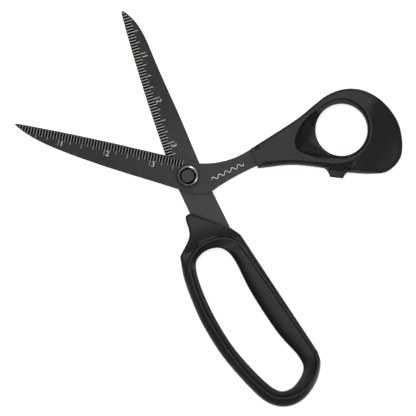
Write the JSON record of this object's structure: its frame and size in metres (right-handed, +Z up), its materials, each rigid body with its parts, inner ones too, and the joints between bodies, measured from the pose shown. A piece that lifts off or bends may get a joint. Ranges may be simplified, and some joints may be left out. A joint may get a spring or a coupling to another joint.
{
  "type": "fabric shears",
  "caption": "Bent-handle fabric shears with straight blades marked as rulers, a screwed pivot, a round thumb bow and a long finger bow.",
  "frame": {"origin": "on the pivot axis, in the plane that the undersides of the handles and the pivot nut rest on", "axes": "+Z up along the pivot screw towards its head, +Y along the rear blade's cutting edge towards its tip, +X to the right of it"},
  "size_m": [0.1993, 0.2318, 0.014],
  "materials": {
    "blade_steel": "satin charcoal coating on ground steel",
    "handle_plastic": "fine matte moulded texture",
    "grip_liner": "smooth soft-touch",
    "screw_black": "satin black",
    "washer_polished": "polished",
    "washer_black": "black oxide",
    "bush_brass": "turned",
    "spacer_white": "plain",
    "spring_steel": "plain"
  },
  "bodies": {
    "finger_half": {"rear_blade": "blade_steel", "finger_handle": "handle_plastic", "finger_grip_liner": "grip_liner", "pivot_screw": "screw_black", "head_washer": "washer_polished", "front_washer": "washer_black", "blade_spacer": "spacer_white", "rear_washer": "washer_black", "spring_washer": "spring_steel", "pivot_nut": "screw_black"},
    "thumb_half": {"front_blade": "blade_steel", "thumb_handle": "handle_plastic", "thumb_grip_liner": "grip_liner", "pivot_bush": "bush_brass"}
  },
  "joints": [
    {"name": "blade_pivot", "type": "hinge", "parent": "finger_half", "child": "thumb_half", "pos_m": [0, 0, 0.007], "axis": [0, 0, 1], "range_deg": [-51.2, 73]}
  ]
}
